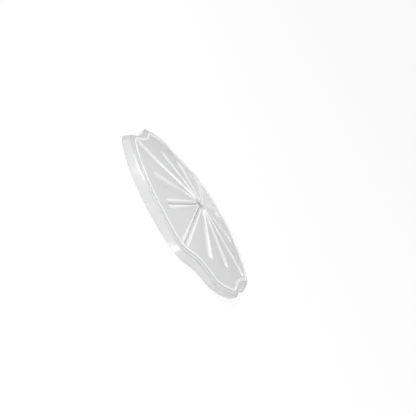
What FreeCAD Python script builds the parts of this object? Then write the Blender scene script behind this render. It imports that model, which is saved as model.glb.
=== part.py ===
import FreeCAD, Part
import math
import os

import Sketcher
from FreeCAD import Placement, Rotation, Vector

# Mixer whisk cleaner: a one-piece dish of clear flexible plastic, moulded with a
# low cone, twelve lipped slots that meet in a star, a raised border line, a
# flange and a flared skirt. X runs across the sides, Y across the two finger
# tabs, Z up. The skirt rests on Z = 0 and the origin is the middle of that face.

NODE = "whisk_cleaner"

SIZES = {
    # Plan of the border line
    "border_sides": 112.0,       # across the two long sides
    "border_tabs": 124.8,        # across the two finger tabs
    "tab_rise": 17.5,            # from the bottom of a hollow out to the tab's end
    "side_radius": 88.0,         # bow of each long side
    "corner_radius": 14.0,       # the four round corners
    "hollow_radius": 36.0,       # hollow beside each tab
    "shoulder_radius": 4.0,      # tab's rounded shoulders
    "tab_radius": 70.0,          # bow of the tab's end
    "tab_width": 23.6,           # bowed end of a tab, between its shoulders
    "tab_slope": 43.0,           # degrees, the shoulder's slant to the tab's end
    # Skirt's lower edge, measured outwards from the border line
    "foot_side": 7.0,            # at the long sides
    "foot_corner": 7.4,          # at the corners and the hollows
    "foot_tab": 3.3,             # at the tabs, where the skirt leans inwards
    # The same at the height of the plate on the long sides
    "brow_side": 2.8,
    "brow_corner": 2.2,
    "brow_tab": 5.4,
    # Rim
    "skirt_wall": 1.4,           # width of the face the piece rests on
    "brow_round": 0.9,           # rounding where plate turns into skirt
    "bead_width": 1.8,           # raised border line
    "bead_rise": 0.7,            # its height over the plate
    "bead_round": 0.55,          # rounding of its two upper edges
    # Cone
    "wall": 1.4,                 # plate's thickness
    "plate_height": 6.5,         # top of the plate on the border line of a long side
    "crown_height": 14.5,        # top of the plate's cone on the centre line
    # Slots
    "slot_count": 12,
    "slot_reach": 46.0,          # centre to the outer end of a short slot
    "corner_slot_reach": 58.8,   # the same of the four long slots
    "mouth_width": 7.0,          # slot's width on top, at its outer end
    "mouth_centre": 2.5,         # the same on the centre line
    "slit_width": 2.6,           # width between the lips, at the outer end
    "slit_centre": 1.1,          # the same on the centre line
    "brim_share": 0.34,          # share of the mouth's slope that is the shallow brim
    "brim_drop": 0.35,           # how far the plate turns down over the brim
    "lip_depth": 3.3,            # plate's top to the lower edge of a lip
    "lip_wall": 1.1,             # thickness of a lip
    "lip_land": 0.7,             # upright stretch at a lip's lower edge
    "star_overlap": 1.0,         # how far every slot starts behind the centre line
}

ORIGIN = -1      # sketch geometry index of the sketch's own origin and X axis
UPRIGHT = -2     # and of its vertical axis
START, END, CENTRE = 1, 2, 3
OVERCUT = 2.0    # how far a cutting shape runs past the plate, above and below


def fill_sheet(doc):
    """Writes every driving size as a plain number with its name as alias."""
    sheet = doc.addObject("Spreadsheet::Sheet", "Sizes")
    for row, (name, value) in enumerate(SIZES.items(), start=1):
        sheet.set(f"A{row}", name)
        sheet.set(f"B{row}", str(value))
        sheet.setAlias(f"B{row}", name)
    doc.recompute()
    return sheet


def origin_part(body, role):
    """One of the body's own axes or planes."""
    return next(part for part in body.Origin.OriginFeatures if part.Role == role)


def sketch_on(body, name, role):
    """A sketch on one of the body's origin planes."""
    sketch = body.newObject("Sketcher::SketchObject", name)
    sketch.AttachmentSupport = [(origin_part(body, role), "")]
    sketch.MapMode = "FlatFace"
    return sketch


def ray_plane(body, name, turn):
    """A level datum plane whose own X axis is the ray at the angle turn."""
    plane = body.newObject("PartDesign::Plane", name)
    plane.AttachmentSupport = [(origin_part(body, "XY_Plane"), "")]
    plane.MapMode = "FlatFace"
    plane.AttachmentOffset = Placement(Vector(), Rotation(Vector(0, 0, 1), 1))
    plane.setExpression("AttachmentOffset.Rotation.Angle", turn)
    return plane


def slope_sketch(body, name, plane, drop):
    """A sketch along the cone's slope under a ray, drop below the plate's top."""
    sketch = body.newObject("Sketcher::SketchObject", name)
    sketch.AttachmentSupport = [(plane, "")]
    sketch.MapMode = "FlatFace"
    sketch.AttachmentOffset = Placement(Vector(0, 0, 1), Rotation(Vector(0, 1, 0), 1))
    sketch.setExpression("AttachmentOffset.Rotation.Angle", CONE_ANGLE)
    sketch.setExpression("AttachmentOffset.Base.z", f"({plate_top('0')} - ({drop})) * 1 mm")
    return sketch


def bind(sketch, index, name, expression):
    """Names a constraint and ties it to the sheet."""
    sketch.renameConstraint(index, name)
    sketch.setExpression(f"Constraints.{name}", expression)


def value_of(sheet, expression):
    """The expression's value now, used to place a point near its final spot."""
    result = sheet.evalExpression(expression)
    return float(getattr(result, "Value", result))


def closed_outline(sketch, sheet, corners):
    """
    Draws a closed outline through named corners, each held by two expressions.

    corners is a list of (name, x expression, y expression), every value at least
    zero. An expression "0" puts the corner on the sketch's own axis.
    """
    points = []
    for name, across, up in corners:
        points.append((name, across, up, value_of(sheet, across), value_of(sheet, up)))
    count = len(points)
    ring = [Vector(x, y, 0) for _, _, _, x, y in points]
    for i in range(count):
        sketch.addGeometry(Part.LineSegment(ring[i], ring[(i + 1) % count]))
    for i in range(count):
        sketch.addConstraint(Sketcher.Constraint("Coincident", i, END, (i + 1) % count, START))
    for i, (name, across, up, x, y) in enumerate(points):
        if across == "0":
            sketch.addConstraint(Sketcher.Constraint("PointOnObject", i, START, UPRIGHT))
        else:
            index = sketch.addConstraint(
                Sketcher.Constraint("DistanceX", ORIGIN, START, i, START, x))
            bind(sketch, index, f"{name}_across", across)
        if up == "0":
            sketch.addConstraint(Sketcher.Constraint("PointOnObject", i, START, ORIGIN))
        else:
            index = sketch.addConstraint(
                Sketcher.Constraint("DistanceY", ORIGIN, START, i, START, y))
            bind(sketch, index, f"{name}_up", up)


# Expressions that several features share
HALF_SIDE = "Sizes.border_sides / 2"
HALF_TAB = "Sizes.border_tabs / 2"
BEYOND = f"({HALF_TAB} + 2 * Sizes.foot_side)"
CONE_SLOPE = f"(Sizes.crown_height - Sizes.plate_height) / ({HALF_SIDE})"
CONE_ANGLE = f"atan({CONE_SLOPE})"
FIRST_TURN = "180 deg / Sizes.slot_count"

# Reaches outwards from the border line: at the sides, the corners and the tabs
BORDER = ("0", "0", "0")
FOOT = ("Sizes.foot_side", "Sizes.foot_corner", "Sizes.foot_tab")
BROW = ("Sizes.brow_side", "Sizes.brow_corner", "Sizes.brow_tab")


def moved(reach, by):
    """The three reaches, each with the expression by added."""
    return tuple(f"({part} + {by})" for part in reach)


def plate_top(reach):
    """Height of the plate's top at the distance reach from the centre line."""
    return f"(Sizes.crown_height - ({CONE_SLOPE}) * ({reach}))"


def plate_under(reach):
    """Height of the plate's underside at the distance reach from the centre line."""
    return f"({plate_top(reach)} - Sizes.wall)"


def level_sketch(body, name, height):
    """A level sketch at the height that the expression gives."""
    sketch = sketch_on(body, name, "XY_Plane")
    sketch.AttachmentOffset = Placement(Vector(0, 0, 1), Rotation())
    sketch.setExpression("AttachmentOffset.Base.z", f"({height}) * 1 mm")
    return sketch


def draw_run(sketch, sheet, reach, tag):
    """
    Adds one quarter of the border line, moved outwards by the three reaches: six
    edges from the X axis round to the Y axis, side bow, corner, hollow, tab slope,
    shoulder and tab bow. Returns the numbers of the first and the last edge.
    """
    at_side, at_corner, at_tab = [value_of(sheet, part) for part in reach]
    side_r = sheet.side_radius + at_side
    corner_r = sheet.corner_radius + at_corner
    hollow_r = sheet.hollow_radius - at_corner
    shoulder_r = sheet.shoulder_radius + at_corner
    tab_r = sheet.tab_radius + at_tab
    slope = math.radians(sheet.tab_slope)
    half_side = sheet.border_sides / 2 + at_side
    half_tab = sheet.border_tabs / 2 + at_tab

    side_c = Vector(half_side - side_r, 0, 0)
    tab_c = Vector(0, half_tab - tab_r, 0)
    tab_turn = math.asin(sheet.tab_width / 2 / sheet.tab_radius)
    tab_out = Vector(math.sin(tab_turn), math.cos(tab_turn), 0)
    shoulder_c = tab_c + tab_out * (tab_r - shoulder_r)
    slope_out = Vector(math.sin(slope), math.cos(slope), 0)
    slope_down = Vector(math.cos(slope), -math.sin(slope), 0)
    slope_top = shoulder_c + slope_out * shoulder_r
    hollow_y = sheet.border_tabs / 2 - sheet.tab_rise + sheet.hollow_radius
    length = (slope_top.y + hollow_r * slope_out.y - hollow_y) / math.sin(slope)
    slope_foot = slope_top + slope_down * length
    hollow_c = slope_foot + slope_out * hollow_r

    # The corner's centre is where two circles cross: one inside the side bow,
    # one outside the hollow.
    gap = hollow_c - side_c
    near = side_r - corner_r
    far = hollow_r + corner_r
    along = (near ** 2 - far ** 2 + gap.Length ** 2) / (2 * gap.Length)
    aside = math.sqrt(near ** 2 - along ** 2)
    unit = gap / gap.Length
    corner_c = side_c + unit * along + Vector(unit.y, -unit.x, 0) * aside

    def bow(centre, radius, first, last):
        """Arc about centre, anticlockwise from the direction first to last."""
        circle = Part.Circle(centre, Vector(0, 0, 1), radius)
        turns = [math.atan2(way.y, way.x) for way in (first, last)]
        if turns[1] < turns[0]:
            turns[1] += 2 * math.pi
        return Part.ArcOfCircle(circle, turns[0], turns[1])

    to_corner = corner_c - side_c
    to_hollow = hollow_c - corner_c
    edges = [
        bow(side_c, side_r, Vector(1, 0, 0), to_corner),
        bow(corner_c, corner_r, to_corner, to_hollow),
        bow(hollow_c, hollow_r, -slope_out, -to_hollow),
        Part.LineSegment(slope_foot, slope_top),
        bow(shoulder_c, shoulder_r, slope_out, tab_out),
        bow(tab_c, tab_r, tab_out, Vector(0, 1, 0)),
    ]
    side, corner, hollow, slant, shoulder, tab = [sketch.addGeometry(edge) for edge in edges]

    joints = [
        (side, END, corner, START), (corner, END, hollow, END),
        (hollow, START, slant, START), (slant, END, shoulder, START),
        (shoulder, END, tab, START),
    ]
    for first, first_end, second, second_end in joints:
        sketch.addConstraint(
            Sketcher.Constraint("Tangent", first, first_end, second, second_end))
    for edge, point, axis in ((tab, END, UPRIGHT), (tab, CENTRE, UPRIGHT),
                              (side, START, ORIGIN), (side, CENTRE, ORIGIN)):
        sketch.addConstraint(Sketcher.Constraint("PointOnObject", edge, point, axis))

    by_side, by_corner, by_tab = reach
    hollow_middle = f"{HALF_TAB} - Sizes.tab_rise + Sizes.hollow_radius"
    sizes = [
        ("Radius", (side,), side_r, "side_bow", f"Sizes.side_radius + {by_side}"),
        ("Radius", (corner,), corner_r, "corner", f"Sizes.corner_radius + {by_corner}"),
        ("Radius", (hollow,), hollow_r, "hollow", f"Sizes.hollow_radius - {by_corner}"),
        ("Radius", (shoulder,), shoulder_r, "shoulder",
         f"Sizes.shoulder_radius + {by_corner}"),
        ("Radius", (tab,), tab_r, "tab_bow", f"Sizes.tab_radius + {by_tab}"),
        ("DistanceX", (ORIGIN, START, side, START), half_side, "half_side",
         f"{HALF_SIDE} + {by_side}"),
        ("DistanceY", (ORIGIN, START, tab, END), half_tab, "half_tab",
         f"{HALF_TAB} + {by_tab}"),
        ("DistanceY", (ORIGIN, START, hollow, CENTRE), hollow_y, "hollow_middle",
         hollow_middle),
        ("DistanceX", (ORIGIN, START, tab, START), tab_r * tab_out.x, "tab_half_width",
         f"Sizes.tab_width / 2 * (1 + {by_tab} / Sizes.tab_radius)"),
        ("Angle", (slant,), math.pi - slope, "tab_slope", "180 deg - Sizes.tab_slope * 1 deg"),
    ]
    for kind, points, value, name, expression in sizes:
        index = sketch.addConstraint(Sketcher.Constraint(kind, *points, value))
        bind(sketch, index, f"{tag}_{name}", expression)
    return side, tab


def draw_quarter(sketch, sheet, reach):
    """A whole quarter of the plan: one run, closed along both axes."""
    side, tab = draw_run(sketch, sheet, reach, "outer")
    down = sketch.addGeometry(Part.LineSegment(sketch.getPoint(tab, END), Vector()))
    across = sketch.addGeometry(Part.LineSegment(Vector(), sketch.getPoint(side, START)))
    sketch.addConstraint(Sketcher.Constraint("Coincident", tab, END, down, START))
    sketch.addConstraint(Sketcher.Constraint("Coincident", down, END, ORIGIN, START))
    sketch.addConstraint(Sketcher.Constraint("Coincident", across, START, ORIGIN, START))
    sketch.addConstraint(Sketcher.Constraint("Coincident", across, END, side, START))


def draw_band(sketch, sheet, reach, width):
    """A quarter of a band that lies inside the moved border line, width wide."""
    side, tab = draw_run(sketch, sheet, reach, "outer")
    inner_side, inner_tab = draw_run(sketch, sheet, moved(reach, f"-1 * {width}"), "inner")
    for first, first_end, second, second_end in (
            (tab, END, inner_tab, END), (inner_side, START, side, START)):
        ends = sketch.getPoint(first, first_end), sketch.getPoint(second, second_end)
        line = sketch.addGeometry(Part.LineSegment(*ends))
        sketch.addConstraint(Sketcher.Constraint("Coincident", first, first_end, line, START))
        sketch.addConstraint(Sketcher.Constraint("Coincident", line, END, second, second_end))


def ruled_loft(doc, body, name, kind, sketches):
    """A straight-sided loft through the sketches."""
    loft = body.newObject(kind, name)
    loft.Profile = sketches[0]
    loft.Sections = [(sketch, [""]) for sketch in sketches[1:]]
    loft.Ruled = True
    doc.recompute()
    return loft


def cone_cut(doc, body, sheet, name, edge_of_plate, upwards):
    """Turns away all that lies above, or all that lies below, one of the cones."""
    profile = sketch_on(body, f"{name}_line", "XZ_Plane")
    far = f"Sizes.crown_height + 2 * {OVERCUT}" if upwards else "0"
    closed_outline(profile, sheet, [
        ("crown", "0", edge_of_plate("0")),
        ("beyond", BEYOND, edge_of_plate(BEYOND)),
        ("far_side", BEYOND, far),
        ("far_centre", "0", far),
    ])
    groove = body.newObject("PartDesign::Groove", name)
    groove.Profile = profile
    groove.ReferenceAxis = (origin_part(body, "Z_Axis"), [""])
    groove.Angle = 360
    doc.recompute()


def mirror_quarters(doc, body):
    """Completes a quarter across both middle planes."""
    for name, role in (("half", "YZ_Plane"), ("whole", "XZ_Plane")):
        mirror = body.newObject("PartDesign::Mirrored", f"{body.Name}_{name}")
        mirror.TransformMode = "Whole shape"
        mirror.MirrorPlane = (origin_part(body, role), [""])
        body.Tip = mirror
        doc.recompute()


def round_edges(doc, body, sheet, name, spots, radius):
    """Rounds the edges that run past the given spots of the XZ plane."""
    base = body.Tip
    edges = [edge_near(base.Shape, sheet, across, up) for across, up in spots]
    fillet = body.newObject("PartDesign::Fillet", name)
    fillet.Base = (base, edges)
    fillet.setExpression("Radius", f"{radius} * 1 mm")
    doc.recompute()


def edge_near(shape, sheet, across, up):
    """The edge that crosses the XZ plane nearest to the spot."""
    spot = Part.Vertex(value_of(sheet, across), 0, value_of(sheet, up))
    gaps = [
        (edge.distToShape(spot)[0], number)
        for number, edge in enumerate(shape.Edges, start=1)
        if edge.BoundBox.YLength > 1.0
    ]
    return f"Edge{min(gaps)[1]}"


def slot_plan(sketch, sheet, reach, heart_half, end_half):
    """
    A slot's outline at one depth, along the sketch's X axis: two straight sides
    that spread from the heart of the star and meet a round end as tangents.
    """
    centre = value_of(sheet, reach)
    narrow = value_of(sheet, heart_half)
    wide = value_of(sheet, end_half)
    back = sheet.star_overlap
    length = centre + back
    spread = math.asin(wide / math.hypot(length, narrow)) - math.atan2(narrow, length)
    touch = Vector(centre - wide * math.sin(spread), wide * math.cos(spread), 0)
    turn = math.atan2(touch.y, touch.x - centre)
    heart = Vector(-back, narrow, 0)
    mirrored_touch = Vector(touch.x, -touch.y, 0)
    mirrored_heart = Vector(-back, -narrow, 0)
    circle = Part.Circle(Vector(centre, 0, 0), Vector(0, 0, 1), wide)
    sketch.addGeometry(Part.LineSegment(mirrored_heart, mirrored_touch))
    sketch.addGeometry(Part.ArcOfCircle(circle, -turn, turn))
    sketch.addGeometry(Part.LineSegment(touch, heart))
    sketch.addGeometry(Part.LineSegment(heart, mirrored_heart))
    right, end, left, close = range(4)
    sketch.addConstraint(Sketcher.Constraint("Tangent", right, END, end, START))
    sketch.addConstraint(Sketcher.Constraint("Tangent", end, END, left, START))
    sketch.addConstraint(Sketcher.Constraint("Coincident", left, END, close, START))
    sketch.addConstraint(Sketcher.Constraint("Coincident", close, END, right, START))
    sketch.addConstraint(Sketcher.Constraint("PointOnObject", end, CENTRE, ORIGIN))
    sizes = [
        ("DistanceX", (ORIGIN, START, end, CENTRE), centre, "end_centre", reach),
        ("Radius", (end,), wide, "end_half", end_half),
        ("DistanceY", (ORIGIN, START, left, END), narrow, "heart_half", heart_half),
        ("DistanceY", (right, START, ORIGIN, START), narrow, "heart_other", heart_half),
        ("DistanceX", (left, END, ORIGIN, START), back, "overlap", "Sizes.star_overlap"),
        ("DistanceX", (right, START, ORIGIN, START), back, "overlap_other",
         "Sizes.star_overlap"),
    ]
    for kind, points, value, name, expression in sizes:
        index = sketch.addConstraint(Sketcher.Constraint(kind, *points, value))
        bind(sketch, index, name, expression)


def lip_levels():
    """The solid that a slot's two lips are cut from: drop and added half width."""
    mouth = ("Sizes.mouth_centre / 2", "Sizes.mouth_width / 2")
    slit = ("Sizes.slit_centre / 2", "Sizes.slit_width / 2")
    return [
        ("foot", "Sizes.lip_depth", slit, "Sizes.lip_wall"),
        ("knee", "Sizes.lip_depth - Sizes.lip_land", slit, "Sizes.lip_wall"),
        ("root", "Sizes.wall * 0.6", mouth, "Sizes.lip_wall"),
    ]


def slot_levels():
    """The slot itself, bottom up: upright slit, sloping lip, shallow brim."""
    mouth = ("Sizes.mouth_centre / 2", "Sizes.mouth_width / 2")
    slit = ("Sizes.slit_centre / 2", "Sizes.slit_width / 2")
    bend = tuple(
        f"({narrow} + ({wide} - {narrow}) * (1 - Sizes.brim_share))"
        for narrow, wide in zip(slit, mouth))
    return [
        ("below", f"Sizes.lip_depth + {OVERCUT}", slit, "0"),
        ("land", "Sizes.lip_depth - Sizes.lip_land", slit, "0"),
        ("bend", "Sizes.brim_drop", bend, "0"),
        ("brim", "0", mouth, "0"),
        ("above", f"-{OVERCUT}", mouth, "0"),
    ]


def add_slots(doc, body, sheet):
    """Lips first, all round, then the slots through them."""
    runs = [
        ("near", ray_plane(body, "near_ray", FIRST_TURN), "Sizes.slot_reach"),
        ("corner", ray_plane(body, "corner_ray", f"3 * {FIRST_TURN}"),
         "Sizes.corner_slot_reach"),
        ("far", ray_plane(body, "far_ray", f"5 * {FIRST_TURN}"), "Sizes.slot_reach"),
    ]
    kinds = [
        ("lips", lip_levels(), "PartDesign::AdditiveLoft"),
        ("slot", slot_levels(), "PartDesign::SubtractiveLoft"),
    ]
    for kind, levels, loft_type in kinds:
        lofts = []
        for run, plane, reach in runs:
            end_centre = f"({reach} - Sizes.mouth_width / 2) / cos({CONE_ANGLE})"
            sketches = []
            for level, drop, (heart_half, end_half), extra in levels:
                sketch = slope_sketch(body, f"{run}_{kind}_{level}", plane, drop)
                slot_plan(sketch, sheet, end_centre, f"{heart_half} + {extra}",
                          f"{end_half} + {extra}")
                sketches.append(sketch)
            lofts.append(ruled_loft(doc, body, f"{run}_{kind}", loft_type, sketches))
        ring = body.newObject("PartDesign::PolarPattern", f"{kind}_ring")
        ring.Originals = lofts
        ring.Axis = (origin_part(body, "Z_Axis"), [""])
        ring.Angle = 360
        ring.setExpression("Occurrences", "Sizes.slot_count / 3")
        body.Tip = ring
        doc.recompute()


def build_skirt(doc, sheet):
    """The skirt as a body of its own, its upper face part of the plate's cone."""
    body = doc.addObject("PartDesign::Body", "skirt_ring")
    sketches = []
    for name, height, reach in (("skirt_foot", "0", FOOT),
                                ("skirt_brow", "Sizes.plate_height", BROW)):
        sketch = level_sketch(body, name, height)
        draw_band(sketch, sheet, reach, "Sizes.skirt_wall")
        sketches.append(sketch)
    ruled_loft(doc, body, "skirt", "PartDesign::AdditiveLoft", sketches)
    cone_cut(doc, body, sheet, "skirt_top", plate_top, True)
    mirror_quarters(doc, body)
    brow = f"({HALF_SIDE} + Sizes.brow_side)"
    round_edges(doc, body, sheet, "brow_edge", [(brow, plate_top(brow))], "Sizes.brow_round")
    return body


def build_bead(doc, sheet):
    """The raised border line as a body of its own, rounded along both upper edges."""
    body = doc.addObject("PartDesign::Body", "border_bead")
    band = sketch_on(body, "bead_band", "XY_Plane")
    half = "Sizes.bead_width / 2"
    draw_band(band, sheet, moved(BORDER, half), "Sizes.bead_width")
    blank = body.newObject("PartDesign::Pad", "bead_blank")
    blank.Profile = band
    blank.setExpression("Length", f"(Sizes.crown_height + {OVERCUT}) * 1 mm")
    doc.recompute()

    def bead_top(reach):
        return f"({plate_top(reach)} + Sizes.bead_rise)"

    def bead_root(reach):
        return f"({plate_top(reach)} - Sizes.wall / 2)"

    cone_cut(doc, body, sheet, "bead_top", bead_top, True)
    cone_cut(doc, body, sheet, "bead_root", bead_root, False)
    mirror_quarters(doc, body)
    flanks = [f"({HALF_SIDE} - {half})", f"({HALF_SIDE} + {half})"]
    round_edges(doc, body, sheet, "bead_edges",
                [(flank, bead_top(flank)) for flank in flanks], "Sizes.bead_round")
    return body


def build_cleaner(doc, sheet):
    """The whole piece as one body."""
    body = doc.addObject("PartDesign::Body", NODE)
    body.Label = NODE

    # Quarter of the plate: its edge runs down the middle of the skirt's wall
    half_wall = "-1 * Sizes.skirt_wall / 2"
    sky = f"Sizes.crown_height + {OVERCUT}"
    levels = [("plate_low", "0", FOOT), ("plate_mid", "Sizes.plate_height", BROW),
              ("plate_high", sky, BROW)]
    sketches = []
    for name, height, reach in levels:
        sketch = level_sketch(body, name, height)
        draw_quarter(sketch, sheet, moved(reach, half_wall))
        sketches.append(sketch)
    ruled_loft(doc, body, "plate_blank", "PartDesign::AdditiveLoft", sketches)
    cone_cut(doc, body, sheet, "cone_under", plate_under, False)

    cone_cut(doc, body, sheet, "cone_top", plate_top, True)
    mirror_quarters(doc, body)
    add_slots(doc, body, sheet)

    for name, maker in (("skirt_on_plate", build_skirt), ("bead_on_plate", build_bead)):
        other = maker(doc, sheet)
        joined = body.newObject("PartDesign::Boolean", name)
        joined.Type = "Fuse"
        joined.setObjects([other])
        body.Tip = joined
        doc.recompute()
    return body


def check(doc, body):
    """Stops if any feature failed or the finished solid isn't sound."""
    for item in doc.Objects:
        bad = [state for state in item.State if state in ("Invalid", "Error")]
        if bad:
            raise RuntimeError(f"{item.Name} failed: {bad}")
    shape = body.Shape
    if shape.isNull() or not shape.isValid() or len(shape.Solids) != 1:
        raise RuntimeError(f"{body.Label} is not one sound solid")


def main():
    doc = FreeCAD.newDocument("WhiskCleaner")
    sheet = fill_sheet(doc)
    body = build_cleaner(doc, sheet)
    doc.recompute()
    check(doc, body)
    os.makedirs("parts", exist_ok=True)
    body.Shape.exportStep(f"parts/{body.Label}.step")
    box = body.Shape.BoundBox
    print(f"{body.Label}: {box.XLength:.2f} x {box.YLength:.2f} x {box.ZLength:.2f} mm,"
          f" {body.Shape.Volume / 1000:.2f} cm3, {len(body.Shape.Faces)} faces")


main()
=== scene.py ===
"""Scene of a mixer whisk cleaner: one clear plastic dish with twelve lipped slots.

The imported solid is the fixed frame. The dish is made again here as one smooth skin
from the same sizes, so its bead, brow and lips are softly rounded, and it is dressed
as milky clear plastic. It rests on a pale floor under soft studio light and is seen
from the photograph's viewing angle, with the camera rolled as it is there. Sizes of
the dish are in millimetres; the finished mesh, the floor, the lamps and the camera
are in metres. X runs across the sides, Y across the two finger tabs, Z up.
"""

import logging
import math
from dataclasses import dataclass, field
from enum import Enum
from typing import List, NamedTuple, Sequence, Tuple, Union

import bpy
from mathutils import Matrix, Vector

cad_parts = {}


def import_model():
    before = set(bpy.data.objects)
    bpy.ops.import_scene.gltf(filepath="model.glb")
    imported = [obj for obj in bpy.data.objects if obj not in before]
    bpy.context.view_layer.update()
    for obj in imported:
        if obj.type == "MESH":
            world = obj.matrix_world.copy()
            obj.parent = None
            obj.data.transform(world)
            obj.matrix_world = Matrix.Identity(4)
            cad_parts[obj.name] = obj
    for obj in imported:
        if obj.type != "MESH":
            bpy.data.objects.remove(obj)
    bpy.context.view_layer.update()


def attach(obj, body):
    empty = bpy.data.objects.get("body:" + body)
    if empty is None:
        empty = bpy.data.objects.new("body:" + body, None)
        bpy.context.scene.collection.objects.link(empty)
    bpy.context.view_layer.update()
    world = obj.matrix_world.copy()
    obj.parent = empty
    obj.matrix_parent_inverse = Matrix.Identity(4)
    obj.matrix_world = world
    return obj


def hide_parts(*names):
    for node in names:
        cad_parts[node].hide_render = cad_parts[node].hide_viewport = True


LOG = logging.getLogger("whisk_cleaner")
NODE = "whisk_cleaner"
MM = 0.001
IMAGE_PX = 416
SENSOR_MM = 36.0
# Point mask of the painted highlights and stronger gloss on the bead and the slots' brims.
HIGHLIGHT_GLOSS = "highlight_gloss"
HALVINGS = 50
CROSSING_ROUNDS = 8
LONGEST_CUT = 0.45
WHITE = (1.0, 1.0, 1.0, 1.0)
BLACK = (0.0, 0.0, 0.0, 1.0)
MIX_SHARE = 0
MIX_FIRST = 6
MIX_SECOND = 7
MIX_RESULT = 2

Colour = Tuple[float, float, float]
Point = Tuple[float, float, float]
Grid = List[List[Vector]]


class LampRole(Enum):
    """What a studio lamp is for."""

    KEY = "key"
    FILL = "fill"
    EDGE = "edge"


class Stretch(Enum):
    """The six stretches of a quarter of the border line, in order."""

    SIDE = 0
    CORNER = 1
    HOLLOW = 2
    SLANT = 3
    SHOULDER = 4
    TAB = 5


class Mark(NamedTuple):
    """A place along the border line: a stretch and the share of it that is passed."""

    stretch: Stretch
    share: float


def polar(centre: Vector, radius: float, angle: float) -> Vector:
    """Point at an angle and a distance from a centre.

    Args:
        centre: the centre in plan.
        radius: distance from it.
        angle: angle from the X axis in radians.

    Returns:
        The point in plan.
    """
    return centre + Vector((math.cos(angle), math.sin(angle))) * radius


@dataclass(frozen=True)
class Bow:
    """An arc in plan, run through from its first angle to its last."""

    centre: Vector
    radius: float
    first: float
    last: float

    def at(self, share: float) -> Vector:
        """Point on the arc at a share of its length."""
        return polar(self.centre, self.radius, self.first + (self.last - self.first) * share)


@dataclass(frozen=True)
class Straight:
    """A straight line in plan."""

    start: Vector
    end: Vector

    def at(self, share: float) -> Vector:
        """Point on the line at a share of its length."""
        return self.start.lerp(self.end, share)


@dataclass(frozen=True)
class Reach:
    """How far a line lies outside the border line, in millimetres."""

    side: float
    corner: float
    tab: float

    def moved(self, by: float) -> "Reach":
        """The same reach, moved outwards by one distance all round."""
        return Reach(self.side + by, self.corner + by, self.tab + by)


ON_BORDER = Reach(0.0, 0.0, 0.0)


@dataclass(frozen=True)
class BorderPlan:
    """Plan of the border line, a quarter of it from the X axis round to the Y axis."""

    sides: float = 112.0
    tabs: float = 124.8
    tab_rise: float = 17.5
    side_radius: float = 88.0
    corner_radius: float = 14.0
    hollow_radius: float = 36.0
    shoulder_radius: float = 4.0
    tab_radius: float = 70.0
    tab_width: float = 23.6
    tab_slope_deg: float = 43.0

    def stretches(self, reach: Reach) -> List[Union[Bow, Straight]]:
        """The six stretches of the border line, moved outwards.

        Args:
            reach: how far outwards.

        Returns:
            Arcs and one straight line in the order of Stretch.
        """
        side_r = self.side_radius + reach.side
        corner_r = self.corner_radius + reach.corner
        hollow_r = self.hollow_radius - reach.corner
        shoulder_r = self.shoulder_radius + reach.corner
        tab_r = self.tab_radius + reach.tab
        slope = math.radians(self.tab_slope_deg)
        side_c = Vector((self.sides / 2 + reach.side - side_r, 0.0))
        tab_c = Vector((0.0, self.tabs / 2 + reach.tab - tab_r))
        tab_turn = math.asin(self.tab_width / 2 / self.tab_radius)
        tab_angle = math.pi / 2 - tab_turn
        shoulder_c = polar(tab_c, tab_r - shoulder_r, tab_angle)
        slope_angle = math.pi / 2 - slope
        slope_out = polar(Vector((0.0, 0.0)), 1.0, slope_angle)
        slope_down = Vector((math.cos(slope), -math.sin(slope)))
        slope_top = shoulder_c + slope_out * shoulder_r
        hollow_y = self.tabs / 2 - self.tab_rise + self.hollow_radius
        length = (slope_top.y + hollow_r * slope_out.y - hollow_y) / math.sin(slope)
        slope_foot = slope_top + slope_down * length
        hollow_c = slope_foot + slope_out * hollow_r
        gap = hollow_c - side_c
        near, far = side_r - corner_r, hollow_r + corner_r
        along = (near ** 2 - far ** 2 + gap.length_squared) / (2 * gap.length)
        aside = math.sqrt(near ** 2 - along ** 2)
        unit = gap.normalized()
        corner_c = side_c + unit * along + Vector((unit.y, -unit.x)) * aside
        to_corner = corner_c - side_c
        to_hollow = hollow_c - corner_c
        corner_first = math.atan2(to_corner.y, to_corner.x)
        corner_last = math.atan2(to_hollow.y, to_hollow.x)
        return [
            Bow(side_c, side_r, 0.0, corner_first),
            Bow(corner_c, corner_r, corner_first, corner_last),
            Bow(hollow_c, hollow_r, corner_last - math.pi, slope_angle - math.pi),
            Straight(slope_foot, slope_top),
            Bow(shoulder_c, shoulder_r, slope_angle, tab_angle),
            Bow(tab_c, tab_r, tab_angle, math.pi / 2),
        ]

    def spots(self, reach: Reach, marks: Sequence[Mark]) -> List[Vector]:
        """Points of the moved border line at the given places.

        Args:
            reach: how far outwards.
            marks: places along the line.

        Returns:
            One point in plan for each mark.
        """
        line = self.stretches(reach)
        return [line[mark.stretch.value].at(mark.share) for mark in marks]

    def mark_at(self, angle: float) -> Mark:
        """Place where a ray from the centre meets the border line.

        Args:
            angle: the ray's angle from the X axis in radians.

        Returns:
            The place along the quarter.
        """
        line = self.stretches(ON_BORDER)
        low, high = 0.0, float(len(line))
        for _ in range(HALVINGS):
            middle = (low + high) / 2
            index = min(int(middle), len(line) - 1)
            spot = line[index].at(middle - index)
            if math.atan2(spot.y, spot.x) < angle:
                low = middle
            else:
                high = middle
        index = min(int(high), len(line) - 1)
        return Mark(Stretch(index), high - index)


@dataclass(frozen=True)
class Cone:
    """The plate's low cone."""

    crown: float = 14.5
    plate_height: float = 6.5
    half_side: float = 56.0
    wall: float = 1.4

    def height(self, spot: Vector) -> float:
        """Height of the plate's top over a point in plan."""
        return self.crown - (self.crown - self.plate_height) / self.half_side * spot.length

    def on(self, spot: Vector, lift: float = 0.0) -> Vector:
        """A point over the plan point, lifted off the plate's top."""
        return Vector((spot.x, spot.y, self.height(spot) + lift))


class Corner(NamedTuple):
    """A corner of a slot's section.

    It holds the half widths at the heart and at the end, the depth below the plate's
    top, and the length that the rounding cuts off on both sides.
    """

    heart: float
    end: float
    drop: float
    cut: float


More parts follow.
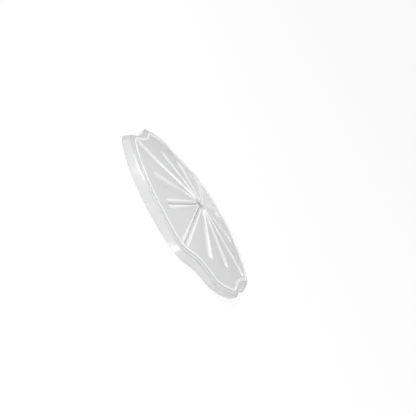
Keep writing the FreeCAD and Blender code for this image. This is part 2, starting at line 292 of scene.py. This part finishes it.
@dataclass(frozen=True)
class SlotSizes:
    """Sizes of the slots and of the lips round them."""

    count: int = 12
    reach: float = 46.0
    corner_reach: float = 58.8
    mouth_width: float = 7.0
    mouth_centre: float = 2.5
    slit_width: float = 2.6
    slit_centre: float = 1.1
    brim_share: float = 0.34
    brim_drop: float = 0.35
    lip_depth: float = 3.3
    lip_wall: float = 1.1
    lip_land: float = 0.7
    star_overlap: float = 1.0
    border_of_brim: float = 0.6
    lip_top_share: float = 0.6
    brim_cut: float = 0.3
    bend_cut: float = 0.4
    knee_cut: float = 0.35
    lip_cut: float = 0.3

    def section(self, wall: float) -> List[Corner]:
        """The slot's section, from the plate's top round the lip to its underside.

        Args:
            wall: thickness of the plate.

        Returns:
            The corners in order, each with the length that its rounding cuts off.
        """
        mouth = (self.mouth_centre / 2, self.mouth_width / 2)
        slit = (self.slit_centre / 2, self.slit_width / 2)
        bend = [low + (high - low) * (1 - self.brim_share) for low, high in zip(slit, mouth)]
        knee = self.lip_depth - self.lip_land
        root_share = (knee - wall) / (knee - wall * self.lip_top_share)
        root = [low + (high - low) * root_share + self.lip_wall for low, high in zip(slit, mouth)]
        outer = [half + self.lip_wall for half in slit]
        edge = self.border_of_brim
        return [
            Corner(mouth[0] + edge, mouth[1] + edge, 0.0, 0.0),
            Corner(*mouth, 0.0, self.brim_cut),
            Corner(*bend, self.brim_drop, self.bend_cut),
            Corner(*slit, knee, self.knee_cut),
            Corner(*slit, self.lip_depth, self.lip_cut),
            Corner(*outer, self.lip_depth, self.lip_cut),
            Corner(*outer, knee, self.knee_cut),
            Corner(*root, wall, self.bend_cut),
            Corner(root[0] + edge, root[1] + edge, wall, 0.0),
        ]


def rounded(corners: Sequence[Sequence[float]], cuts: Sequence[float], steps: int) -> List[Vector]:
    """Rounds the inner corners of an open line with short parabolas.

    Args:
        corners: the line's corners, three numbers each.
        cuts: length that the rounding takes off both sides of each corner.
        steps: points on each rounded corner.

    Returns:
        The rounded line.
    """
    points = [Vector(corner) for corner in corners]
    line = [points[0]]
    for before, here, after, cut in zip(points, points[1:], points[2:], cuts[1:]):
        back, ahead = before - here, after - here
        start = here + back.normalized() * min(cut, back.length * LONGEST_CUT)
        end = here + ahead.normalized() * min(cut, ahead.length * LONGEST_CUT)
        for step in range(steps):
            share = step / (steps - 1)
            line.append(start.lerp(here, share).lerp(here.lerp(end, share), share))
    line.append(points[-1])
    return line


@dataclass(frozen=True)
class RimSizes:
    """Sizes of the raised border line, the brow and the skirt."""

    foot: Reach = Reach(7.0, 7.4, 3.3)
    brow: Reach = Reach(2.8, 2.2, 5.4)
    skirt_wall: float = 1.4
    bead_width: float = 1.8
    bead_rise: float = 0.7
    brow_cut: float = 1.35
    foot_cut: float = 0.3
    inner_cut: float = 0.6
    bead_cut: float = 0.6
    fillet: float = 0.3
    fillet_cut: float = 0.25


@dataclass(frozen=True)
class Fineness:
    """How many steps the skin is divided into."""

    side_rows: int = 26
    end_rows: int = 16
    plate_columns: int = 6
    under_columns: int = 4
    round_steps: int = 4
    skirt_steps: int = 6
    probe_columns: int = 3
    first_bead_column: int = 2


@dataclass
class DishSkin:
    """Builds one quarter of the dish's closed skin."""

    plan: BorderPlan = field(default_factory=BorderPlan)
    cone: Cone = field(default_factory=Cone)
    slots: SlotSizes = field(default_factory=SlotSizes)
    rim: RimSizes = field(default_factory=RimSizes)
    fineness: Fineness = field(default_factory=Fineness)
    # Strength of the painted highlight and stronger gloss on the slots' brims and on the bead.
    slot_highlight_gloss: float = 0.8
    bead_highlight_gloss: float = 1.0
    verts: List[Vector] = field(default_factory=list)
    highlight_gloss: List[float] = field(default_factory=list)
    faces: List[Tuple[int, int, int, int]] = field(default_factory=list)

    def add_grid(self, grid: Grid, probe_columns: int, highlit_columns: range, share: float) -> None:
        """Adds a grid of points as quads that face outwards.

        Args:
            grid: rows of points, all of one length.
            probe_columns: number of first columns whose faces look up.
            highlit_columns: columns that get a painted highlight and a stronger gloss.
            share: strength of that painted highlight and gloss, from 0 to 1.
        """
        up = 0.0
        width = len(grid[0])
        start = len(self.verts)
        for row, following in zip(grid, grid[1:]):
            for column in range(probe_columns):
                across = row[column + 1] - row[column]
                along = following[column] - row[column]
                up += along.cross(across).z
        for row in grid:
            self.verts.extend(row)
            # Each point's share of the painted highlight and stronger gloss.
            self.highlight_gloss.extend(share * (column in highlit_columns) for column in range(width))
        for i in range(len(grid) - 1):
            for j in range(width - 1):
                here = start + i * width + j
                quad = (here, here + width, here + width + 1, here + 1)
                self.faces.append(quad if up > 0 else quad[::-1])

    def reach_of(self, number: int) -> float:
        """Reach of a slot, counted from the X axis; every third is a long one."""
        return self.slots.corner_reach if number % 3 == 1 else self.slots.reach

    def spread(self, corner: Vector, reach: float) -> float:
        """Angle by which a slot's side opens outwards at one level.

        Args:
            corner: half width at the heart, half width at the end, drop.
            reach: the slot's reach from the centre.

        Returns:
            The angle in radians.
        """
        length = reach - self.slots.mouth_width / 2 + self.slots.star_overlap
        return math.asin(corner.y / math.hypot(length, corner.x)) - math.atan2(corner.x, length)

    def petal_tip(self, corner: Vector, reach: float, next_reach: float) -> Vector:
        """Where the sides of two neighbouring slots meet, seen from the first slot.

        Args:
            corner: half width at the heart, half width at the end, drop.
            reach: the first slot's reach.
            next_reach: the neighbour's reach.

        Returns:
            The petal's tip in plan, with the first slot along the X axis.
        """
        turn = 2 * math.pi / self.slots.count
        own = math.tan(self.spread(corner, reach))
        other = math.tan(self.spread(corner, next_reach))
        own_start = corner.x + self.slots.star_overlap * own
        other_start = corner.x + self.slots.star_overlap * other
        lean = math.cos(turn) + other * math.sin(turn)
        across = math.sin(turn) - other * math.cos(turn) - own * lean
        tip_x = (other_start + own_start * lean) / across
        return Vector((tip_x, own_start + tip_x * own))

    def slot_line(self, corner: Vector, reach: float, next_reach: float) -> List[Vector]:
        """One side of a slot's outline at one level, along the X axis, left of it.

        Args:
            corner: half width at the heart, half width at the end, drop.
            reach: the slot's reach from the centre.
            next_reach: reach of the slot on the petal's other side.

        Returns:
            Points from the petal's tip to the middle of the round end, in plan.
        """
        centre = Vector((reach - self.slots.mouth_width / 2, 0.0))
        first = math.pi / 2 + self.spread(corner, reach)
        touch = polar(centre, corner.y, first)
        tip = self.petal_tip(corner, reach, next_reach)
        rows = self.fineness.side_rows
        line = [tip.lerp(touch, step / rows) for step in range(rows)]
        for step in range(self.fineness.end_rows + 1):
            share = 1 - step / self.fineness.end_rows
            line.append(polar(centre, corner.y, first * share))
        return line

    def sector(self, number: int, side: int) -> List[Mark]:
        """Adds half of a slot with half of the petal beside it.

        Args:
            number: the slot's number, counted from the X axis.
            side: 1 for the petal that follows the slot, -1 for the one before it.

        Returns:
            Places on the border line from the petal's middle line to the slot's ray.
        """
        spacing = 2 * math.pi / self.slots.count
        slot_angle = spacing * (number + 0.5)
        reach, next_reach = self.reach_of(number), self.reach_of(number + side)
        turn = Matrix.Rotation(slot_angle, 2)
        corners = self.slots.section(self.cone.wall)
        section = rounded([corner[:3] for corner in corners],
                          [corner.cut for corner in corners], self.fineness.round_steps)
        columns = []
        for level in section:
            line = self.slot_line(level, reach, next_reach)
            turned = [turn @ Vector((spot.x, spot.y * side)) for spot in line]
            columns.append([self.cone.on(spot, -level.z) for spot in turned])
        marks = self.end_marks(slot_angle, slot_angle + side * spacing / 2)
        top = self.outer_line(columns[0][0], self.plan.spots(self.bead_foot(), marks), 0.0)
        under = self.outer_line(columns[-1][0], self.plan.spots(ON_BORDER, marks),
                                -self.cone.wall)
        grid = []
        for row in range(len(top)):
            inner = [column[row] for column in columns]
            grid.append(
                self.fill(top[row], inner[0], self.fineness.plate_columns, 0.0)
                + inner[1:-1]
                + self.fill(inner[-1], under[row], self.fineness.under_columns, -self.cone.wall))
        # The slot's brim columns get a painted highlight and a stronger gloss.
        first = self.fineness.plate_columns + 1
        slot = range(first, first + 2 * self.fineness.round_steps)
        self.add_grid(grid, self.fineness.plate_columns, slot, self.slot_highlight_gloss)
        return marks

    def fill(self, start: Vector, end: Vector, steps: int, lift: float) -> List[Vector]:
        """Points on the cone between two points that lie on it, ends included."""
        line = [start]
        for step in range(1, steps):
            spot = start.to_2d().lerp(end.to_2d(), step / steps)
            line.append(self.cone.on(spot, lift))
        return line + [end]

    def end_marks(self, slot_angle: float, mid_angle: float) -> List[Mark]:
        """Places on the border line from a petal's middle line to a slot's ray."""
        rows = self.fineness.end_rows
        return [
            self.plan.mark_at(mid_angle + (slot_angle - mid_angle) * step / rows)
            for step in range(rows + 1)
        ]

    def outer_line(self, tip: Vector, border: Sequence[Vector], lift: float) -> List[Vector]:
        """The line that faces a slot: up the petal's middle, then along the border."""
        rows = self.fineness.side_rows
        start = tip.to_2d()
        line = [start.lerp(border[0], step / rows) for step in range(rows)]
        line.extend(border)
        return [tip] + [self.cone.on(spot, lift) for spot in line[1:]]

    def bead_foot(self) -> Reach:
        """Where the raised line's soft foot meets the plate on its inner side."""
        return ON_BORDER.moved(-self.rim.bead_width / 2 - self.rim.fillet)

    def rim_row(self, mark: Mark) -> List[Vector]:
        """The rim's section at one place, from the plate over the skirt and back.

        Args:
            mark: place along the border line.

        Returns:
            Points from the bead's inner foot to the plate's underside.
        """
        rim, cone = self.rim, self.cone

        def spot(reach: Reach) -> Vector:
            return self.plan.spots(reach, [mark])[0]

        def wall_at(foot: Vector, brow: Vector, height: float) -> Vector:
            return foot.lerp(brow, height / cone.plate_height)

        border = spot(ON_BORDER)
        outwards = (spot(ON_BORDER.moved(1.0)) - border).normalized()
        half = rim.bead_width / 2
        bead = rounded(
            [(-half - rim.fillet, 0.0, 0.0), (-half, 0.0, 0.0), (-half, rim.bead_rise, 0.0),
             (half, rim.bead_rise, 0.0), (half, 0.0, 0.0), (half + rim.fillet, 0.0, 0.0)],
            [0.0, rim.fillet_cut, rim.bead_cut, rim.bead_cut, rim.fillet_cut, 0.0],
            self.fineness.round_steps)
        line = [cone.on(border + outwards * point.x, point.y) for point in bead]
        line[0] = cone.on(spot(self.bead_foot()))

        foot, brow = spot(rim.foot), spot(rim.brow)
        foot_in = spot(rim.foot.moved(-rim.skirt_wall))
        brow_in = spot(rim.brow.moved(-rim.skirt_wall))
        outer_height = self.crossing(foot, brow, 0.0)
        inner_height = self.crossing(foot_in, brow_in, -cone.wall)
        apex = cone.on(wall_at(foot, brow, outer_height))
        inner_apex = cone.on(wall_at(foot_in, brow_in, inner_height), -cone.wall)
        under = cone.on(border, -cone.wall)
        skirt = rounded(
            [line[-1], apex, foot.to_3d(), foot_in.to_3d(), inner_apex, under],
            [0.0, rim.brow_cut, rim.foot_cut, rim.foot_cut, rim.inner_cut, 0.0],
            self.fineness.skirt_steps)
        return line + skirt[1:]

    def crossing(self, foot: Vector, brow: Vector, lift: float) -> float:
        """Height at which the skirt's face meets the plate's top or underside."""
        height = self.cone.plate_height
        for _ in range(CROSSING_ROUNDS):
            spot = foot.lerp(brow, height / self.cone.plate_height)
            height = self.cone.height(spot) + lift
        return height

    def build(self) -> bpy.types.Mesh:
        """Builds the quarter.

        Returns:
            The quarter's mesh in metres.
        """
        marks: List[Mark] = []
        for number in range(self.slots.count // 4):
            for side in (-1, 1):
                run = self.sector(number, side)[::-side]
                marks.extend(run if not marks else run[1:])
        # The bead's columns get a painted highlight and a stronger gloss.
        bead = range(self.fineness.first_bead_column, 3 * self.fineness.round_steps)
        rows = [self.rim_row(mark) for mark in marks]
        self.add_grid(rows, self.fineness.probe_columns, bead, self.bead_highlight_gloss)
        mesh = bpy.data.meshes.new("dish_quarter")
        mesh.from_pydata([vert * MM for vert in self.verts], [], self.faces)
        # Point mask of the painted highlights and stronger gloss, read by the material.
        layer = mesh.attributes.new(HIGHLIGHT_GLOSS, "FLOAT", "POINT")
        layer.data.foreach_set("value", self.highlight_gloss)
        return mesh


@dataclass(frozen=True)
class GraphHelp:
    """Small helper that adds nodes to a tree and links them."""

    tree: bpy.types.NodeTree

    def node(self, kind: str, **values: object) -> bpy.types.Node:
        """Adds a node.

        Args:
            kind: the node's type name.
            values: attributes of the node to set.

        Returns:
            The node.
        """
        node = self.tree.nodes.new(kind)
        for name, value in values.items():
            setattr(node, name, value)
        return node

    def link(self, source: bpy.types.NodeSocket, target: bpy.types.NodeSocket) -> None:
        """Links an output to an input."""
        self.tree.links.new(source, target)


@dataclass
class QuarterMirror:
    """Geometry Nodes tree that completes a quarter across both middle planes."""

    merge_distance: float = 0.004 * MM

    def tree(self) -> bpy.types.NodeTree:
        """Builds the node tree.

        Returns:
            The tree, with the inputs Merge Distance and Material.
        """
        tree = bpy.data.node_groups.new("whole_from_quarter", "GeometryNodeTree")
        face = tree.interface
        face.new_socket("Geometry", in_out="INPUT", socket_type="NodeSocketGeometry")
        face.new_socket("Merge Distance", in_out="INPUT", socket_type="NodeSocketFloat")
        face.new_socket("Material", in_out="INPUT", socket_type="NodeSocketMaterial")
        face.new_socket("Geometry", in_out="OUTPUT", socket_type="NodeSocketGeometry")
        graph = GraphHelp(tree)
        start = graph.node("NodeGroupInput")
        flow = start.outputs["Geometry"]
        for scale in ((-1.0, 1.0, 1.0), (1.0, -1.0, 1.0)):
            mirrored = graph.node("GeometryNodeTransform")
            mirrored.inputs["Scale"].default_value = scale
            turned = graph.node("GeometryNodeFlipFaces")
            joined = graph.node("GeometryNodeJoinGeometry")
            graph.link(flow, mirrored.inputs["Geometry"])
            graph.link(mirrored.outputs["Geometry"], turned.inputs["Mesh"])
            graph.link(turned.outputs["Mesh"], joined.inputs["Geometry"])
            graph.link(flow, joined.inputs["Geometry"])
            flow = joined.outputs["Geometry"]
        merged = graph.node("GeometryNodeMergeByDistance")
        smooth = graph.node("GeometryNodeSetShadeSmooth")
        realised = graph.node("GeometryNodeRealizeInstances")
        dressed = graph.node("GeometryNodeSetMaterial")
        end = graph.node("NodeGroupOutput")
        graph.link(flow, merged.inputs["Geometry"])
        graph.link(start.outputs["Merge Distance"], merged.inputs["Distance"])
        graph.link(merged.outputs["Geometry"], smooth.inputs["Geometry"])
        graph.link(smooth.outputs["Geometry"], realised.inputs["Geometry"])
        graph.link(realised.outputs["Geometry"], dressed.inputs["Geometry"])
        graph.link(start.outputs["Material"], dressed.inputs["Material"])
        graph.link(dressed.outputs["Geometry"], end.inputs["Geometry"])
        return tree

    def apply(self, quarter: bpy.types.Mesh, material: bpy.types.Material,
              name: str) -> bpy.types.Object:
        """Runs the tree on a quarter and keeps the result as a plain mesh.

        Args:
            quarter: the quarter's mesh.
            material: material of the whole.
            name: the finished object's name.

        Returns:
            The finished object, linked to the scene.
        """
        holder = bpy.data.objects.new("quarter_holder", quarter)
        bpy.context.scene.collection.objects.link(holder)
        modifier = holder.modifiers.new("whole_from_quarter", "NODES")
        modifier.node_group = self.tree()
        values = {"Merge Distance": self.merge_distance, "Material": material}
        for item in modifier.node_group.interface.items_tree:
            if item.in_out == "INPUT" and item.name in values:
                modifier[item.identifier] = values[item.name]
        graph = bpy.context.evaluated_depsgraph_get()
        mesh = bpy.data.meshes.new_from_object(
            holder.evaluated_get(graph), preserve_all_data_layers=True, depsgraph=graph)
        holder.modifiers.remove(modifier)
        bpy.data.objects.remove(holder)
        mesh.name = name
        whole = bpy.data.objects.new(name, mesh)
        bpy.context.scene.collection.objects.link(whole)
        return whole


@dataclass(frozen=True)
class MilkyPlastic:
    """Clear, slightly milky flexible plastic with a moulded gloss, and painted highlights on the
    bead and the slots' brims.
    """

    clear_tint: Colour = (0.765, 0.765, 0.768)
    milky_tint: Colour = (0.825, 0.825, 0.828)
    # Lighter colour and glow that paint highlights on the bead and the slots' brims.
    painted_highlight_tint: Colour = (0.985, 0.985, 0.986)
    painted_highlight_glow: Colour = (0.13, 0.13, 0.13)
    mottle_scale: float = 38.0
    grain_scale: float = 900.0
    roughness_low: float = 0.16
    roughness_high: float = 0.26
    bump_height: float = 0.00004
    transmission: float = 0.5
    ior: float = 1.46
    coat: float = 0.25
    edge_coat: float = 1.0
    coat_roughness: float = 0.08
    mottle_detail: float = 3.0
    grain_detail: float = 2.0
    bump_strength: float = 0.5

    def mottle_group(self) -> bpy.types.NodeTree:
        """Shader group that gives the milkiness and the gloss of the moulding.

        Returns:
            The group, with the outputs Color and Roughness.
        """
        tree = bpy.data.node_groups.new("milk_mottle", "ShaderNodeTree")
        tree.interface.new_socket("Vector", in_out="INPUT", socket_type="NodeSocketVector")
        tree.interface.new_socket("Scale", in_out="INPUT", socket_type="NodeSocketFloat")
        tree.interface.new_socket("Color", in_out="OUTPUT", socket_type="NodeSocketColor")
        tree.interface.new_socket("Roughness", in_out="OUTPUT", socket_type="NodeSocketFloat")
        graph = GraphHelp(tree)
        start, end = graph.node("NodeGroupInput"), graph.node("NodeGroupOutput")
        noise = graph.node("ShaderNodeTexNoise")
        noise.inputs["Detail"].default_value = self.mottle_detail
        tint = graph.node("ShaderNodeMix", data_type="RGBA")
        tint.inputs[MIX_FIRST].default_value = (*self.clear_tint, 1.0)
        tint.inputs[MIX_SECOND].default_value = (*self.milky_tint, 1.0)
        gloss = graph.node("ShaderNodeMapRange")
        gloss.inputs["To Min"].default_value = self.roughness_low
        gloss.inputs["To Max"].default_value = self.roughness_high
        graph.link(start.outputs["Vector"], noise.inputs["Vector"])
        graph.link(start.outputs["Scale"], noise.inputs["Scale"])
        graph.link(noise.outputs["Fac"], tint.inputs[MIX_SHARE])
        graph.link(noise.outputs["Fac"], gloss.inputs["Value"])
        graph.link(tint.outputs[MIX_RESULT], end.inputs["Color"])
        graph.link(gloss.outputs["Result"], end.inputs["Roughness"])
        return tree

    def grain_group(self) -> bpy.types.NodeTree:
        """Shader group that gives the height of the mould's faint grain.

        Returns:
            The group, with the output Height.
        """
        tree = bpy.data.node_groups.new("mould_grain", "ShaderNodeTree")
        tree.interface.new_socket("Vector", in_out="INPUT", socket_type="NodeSocketVector")
        tree.interface.new_socket("Scale", in_out="INPUT", socket_type="NodeSocketFloat")
        tree.interface.new_socket("Height", in_out="OUTPUT", socket_type="NodeSocketFloat")
        graph = GraphHelp(tree)
        start, end = graph.node("NodeGroupInput"), graph.node("NodeGroupOutput")
        noise = graph.node("ShaderNodeTexNoise")
        noise.inputs["Detail"].default_value = self.grain_detail
        graph.link(start.outputs["Vector"], noise.inputs["Vector"])
        graph.link(start.outputs["Scale"], noise.inputs["Scale"])
        graph.link(noise.outputs["Fac"], end.inputs["Height"])
        return tree

    def edge_group(self) -> bpy.types.NodeTree:
        """Shader group that paints highlights on the bead and the slots' brims with a lighter
        colour and a glow, and gives them a stronger coat.

        Returns:
            The group, with the outputs Color, Coat and Glow.
        """
        tree = bpy.data.node_groups.new("painted_edge_highlights", "ShaderNodeTree")
        tree.interface.new_socket("Highlight Gloss", in_out="INPUT", socket_type="NodeSocketFloat")
        tree.interface.new_socket("Body", in_out="INPUT", socket_type="NodeSocketColor")
        tree.interface.new_socket("Color", in_out="OUTPUT", socket_type="NodeSocketColor")
        tree.interface.new_socket("Coat", in_out="OUTPUT", socket_type="NodeSocketFloat")
        tree.interface.new_socket("Glow", in_out="OUTPUT", socket_type="NodeSocketColor")
        graph = GraphHelp(tree)
        start, end = graph.node("NodeGroupInput"), graph.node("NodeGroupOutput")
        # Lighter colour for the painted highlight.
        tint = graph.node("ShaderNodeMix", data_type="RGBA")
        tint.inputs[MIX_SECOND].default_value = (*self.painted_highlight_tint, 1.0)
        coat = graph.node("ShaderNodeMapRange")
        coat.inputs["To Min"].default_value = self.coat
        coat.inputs["To Max"].default_value = self.edge_coat
        # Glow for the painted highlight; the edges are no lamp.
        glow = graph.node("ShaderNodeMix", data_type="RGBA")
        glow.inputs[MIX_FIRST].default_value = BLACK
        glow.inputs[MIX_SECOND].default_value = (*self.painted_highlight_glow, 1.0)
        highlight_gloss = start.outputs["Highlight Gloss"]
        graph.link(highlight_gloss, tint.inputs[MIX_SHARE])
        graph.link(highlight_gloss, coat.inputs["Value"])
        graph.link(highlight_gloss, glow.inputs[MIX_SHARE])
        graph.link(start.outputs["Body"], tint.inputs[MIX_FIRST])
        graph.link(tint.outputs[MIX_RESULT], end.inputs["Color"])
        graph.link(coat.outputs["Result"], end.inputs["Coat"])
        graph.link(glow.outputs[MIX_RESULT], end.inputs["Glow"])
        return tree

    def make(self, name: str) -> bpy.types.Material:
        """Builds the material.

        Args:
            name: the material's name.

        Returns:
            The finished material.
        """
        material = bpy.data.materials.new(name)
        material.use_nodes = True
        graph = GraphHelp(material.node_tree)
        shader = material.node_tree.nodes["Principled BSDF"]
        shader.inputs["IOR"].default_value = self.ior
        shader.inputs["Transmission Weight"].default_value = self.transmission
        shader.inputs["Emission Strength"].default_value = 1.0
        shader.inputs["Coat Roughness"].default_value = self.coat_roughness
        where = graph.node("ShaderNodeTexCoord")
        mottle = graph.node("ShaderNodeGroup")
        mottle.node_tree = self.mottle_group()
        mottle.inputs["Scale"].default_value = self.mottle_scale
        grain = graph.node("ShaderNodeGroup")
        grain.node_tree = self.grain_group()
        grain.inputs["Scale"].default_value = self.grain_scale
        bump = graph.node("ShaderNodeBump")
        bump.inputs["Strength"].default_value = self.bump_strength
        bump.inputs["Distance"].default_value = self.bump_height
        graph.link(where.outputs["Object"], mottle.inputs["Vector"])
        graph.link(where.outputs["Object"], grain.inputs["Vector"])
        # The mask paints highlights on the bead and the slots' brims with a lighter colour and a
        # glow, and strengthens the coat there.
        highlight_gloss = graph.node("ShaderNodeAttribute", attribute_name=HIGHLIGHT_GLOSS)
        edge = graph.node("ShaderNodeGroup")
        edge.node_tree = self.edge_group()
        graph.link(highlight_gloss.outputs["Fac"], edge.inputs["Highlight Gloss"])
        graph.link(mottle.outputs["Color"], edge.inputs["Body"])
        graph.link(edge.outputs["Color"], shader.inputs["Base Color"])
        graph.link(edge.outputs["Coat"], shader.inputs["Coat Weight"])
        graph.link(edge.outputs["Glow"], shader.inputs["Emission Color"])
        graph.link(mottle.outputs["Roughness"], shader.inputs["Roughness"])
        graph.link(grain.outputs["Height"], bump.inputs["Height"])
        graph.link(bump.outputs["Normal"], shader.inputs["Normal"])
        return material


@dataclass(frozen=True)
class PaleFloor:
    """Plain white floor; the camera sees it as white, with the dish's soft shadow."""

    albedo: Colour = (0.92, 0.92, 0.92)
    half_width: float = 3.0
    white_share: float = 0.85
    roughness: float = 0.9

    def make(self) -> bpy.types.Object:
        """Builds the floor plane under the dish.

        Returns:
            The floor object.
        """
        half = self.half_width
        mesh = bpy.data.meshes.new("floor")
        corners = [(-half, -half, 0.0), (half, -half, 0.0), (half, half, 0.0), (-half, half, 0.0)]
        mesh.from_pydata(corners, [], [(0, 1, 2, 3)])
        floor = bpy.data.objects.new("floor", mesh)
        mesh.materials.append(self.material())
        bpy.context.scene.collection.objects.link(floor)
        return floor

    def material(self) -> bpy.types.Material:
        """White for what looks at it straight, in a mirror or through the plastic."""
        material = bpy.data.materials.new("pale_floor")
        material.use_nodes = True
        graph = GraphHelp(material.node_tree)
        shader = material.node_tree.nodes["Principled BSDF"]
        shader.inputs["Base Color"].default_value = (*self.albedo, 1.0)
        shader.inputs["Roughness"].default_value = self.roughness
        output = material.node_tree.nodes["Material Output"]
        glow = graph.node("ShaderNodeEmission")
        glow.inputs["Color"].default_value = WHITE
        glow.inputs["Strength"].default_value = 1.0
        path = graph.node("ShaderNodeLightPath")
        seen = graph.node("ShaderNodeMath", operation="MAXIMUM")
        share = graph.node("ShaderNodeMath", operation="MULTIPLY")
        share.inputs[1].default_value = self.white_share
        either = graph.node("ShaderNodeMath", operation="MAXIMUM")
        graph.link(path.outputs["Is Camera Ray"], seen.inputs[0])
        graph.link(path.outputs["Is Glossy Ray"], seen.inputs[1])
        graph.link(seen.outputs["Value"], share.inputs[0])
        graph.link(share.outputs["Value"], either.inputs[0])
        graph.link(path.outputs["Is Transmission Ray"], either.inputs[1])
        mix = graph.node("ShaderNodeMixShader")
        graph.link(either.outputs["Value"], mix.inputs["Fac"])
        graph.link(shader.outputs["BSDF"], mix.inputs[1])
        graph.link(glow.outputs["Emission"], mix.inputs[2])
        graph.link(mix.outputs["Shader"], output.inputs["Surface"])
        return material


@dataclass(frozen=True)
class Lamp:
    """One square area lamp of the studio."""

    role: LampRole
    place: Point
    width: float
    power: float

    def make(self) -> bpy.types.Object:
        """Builds the lamp, aimed at the dish.

        Returns:
            The lamp object.
        """
        data = bpy.data.lights.new(f"{self.role.value}_lamp", "AREA")
        data.size = self.width
        data.energy = self.power
        lamp = bpy.data.objects.new(f"{self.role.value}_lamp", data)
        lamp.location = self.place
        lamp.rotation_mode = "QUATERNION"
        lamp.rotation_quaternion = Vector(self.place).to_track_quat("Z", "Y")
        bpy.context.scene.collection.objects.link(lamp)
        return lamp


@dataclass
class Studio:
    """Floor, lamps and surrounding light."""

    world_strength: float = 0.66
    floor: PaleFloor = field(default_factory=PaleFloor)
    lamps: List[Lamp] = field(default_factory=lambda: [
        Lamp(LampRole.KEY, (-0.86, -0.72, 0.67), 0.6, 4.5),
        Lamp(LampRole.EDGE, (-0.49, -0.85, 0.78), 0.3, 2.6),
        Lamp(LampRole.FILL, (-0.35, 0.75, 0.8), 0.4, 5.0),
    ])

    def build(self) -> None:
        """Builds the surroundings: the world light, the floor and the lamps."""
        world = bpy.data.worlds.new("soft_room")
        world.use_nodes = True
        background = world.node_tree.nodes["Background"]
        background.inputs["Color"].default_value = WHITE
        graph = GraphHelp(world.node_tree)
        path = graph.node("ShaderNodeLightPath")
        level = graph.node("ShaderNodeMapRange")
        level.inputs["To Min"].default_value = self.world_strength
        level.inputs["To Max"].default_value = 1.0
        graph.link(path.outputs["Is Camera Ray"], level.inputs["Value"])
        graph.link(level.outputs["Result"], background.inputs["Strength"])
        bpy.context.scene.world = world
        self.floor.make()
        [lamp.make() for lamp in self.lamps]
        bpy.context.scene.view_settings.view_transform = "Standard"


@dataclass(frozen=True)
class PhotoCamera:
    """Camera that sees the dish as the photograph does."""

    towards: Point = (-0.83064, -0.48102, 0.28046)
    right: Point = (0.48070, -0.36528, 0.79718)
    distance: float = 0.9201
    scale_px_per_mm: float = 1.4966
    origin_px: Tuple[float, float] = (184.34, 214.96)
    nearest: float = 0.01
    farthest: float = 50.0

    def focal_px(self) -> float:
        """Focal length in image pixels."""
        return self.scale_px_per_mm * self.distance / MM

    def place(self) -> bpy.types.Object:
        """Makes the camera and makes it the scene's own.

        Returns:
            The camera object.
        """
        data = bpy.data.cameras.new("photo_camera")
        data.sensor_width = SENSOR_MM
        data.lens = self.focal_px() * SENSOR_MM / IMAGE_PX
        data.clip_start = self.nearest
        data.clip_end = self.farthest
        back = Vector(self.towards).normalized()
        right = Vector(self.right)
        right = (right - right.dot(back) * back).normalized()
        up = back.cross(right)
        turn = Matrix((right, up, back)).transposed()
        middle = IMAGE_PX / 2
        aside = math.atan((self.origin_px[0] - middle) / self.focal_px())
        below = math.atan((self.origin_px[1] - middle) / self.focal_px())
        swing = Matrix.Rotation(aside, 3, "Y") @ Matrix.Rotation(below, 3, "X")
        camera = bpy.data.objects.new("photo_camera", data)
        place = (turn @ swing).to_4x4()
        place.translation = back * self.distance
        camera.matrix_world = place
        bpy.context.scene.collection.objects.link(camera)
        bpy.context.scene.camera = camera
        return camera


@dataclass
class CleanerDish:
    """The one-piece dish."""

    finish: MilkyPlastic = field(default_factory=MilkyPlastic)
    skin: DishSkin = field(default_factory=DishSkin)
    mirror: QuarterMirror = field(default_factory=QuarterMirror)

    def build(self) -> bpy.types.Object:
        """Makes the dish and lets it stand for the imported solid.

        Returns:
            The dish object.
        """
        material = self.finish.make("milky_plastic")
        dish = self.mirror.apply(self.skin.build(), material, "clear_dish")
        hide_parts(NODE)
        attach(dish, "root")
        return dish


def main() -> None:
    """Builds the scene in order."""
    logging.basicConfig(level=logging.INFO, format="%(name)s: %(message)s")
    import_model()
    dish = CleanerDish().build()
    LOG.info("%s: %d faces", dish.name, len(dish.data.polygons))
    Studio().build()
    PhotoCamera().place()


if __name__ == "__main__":
    main()
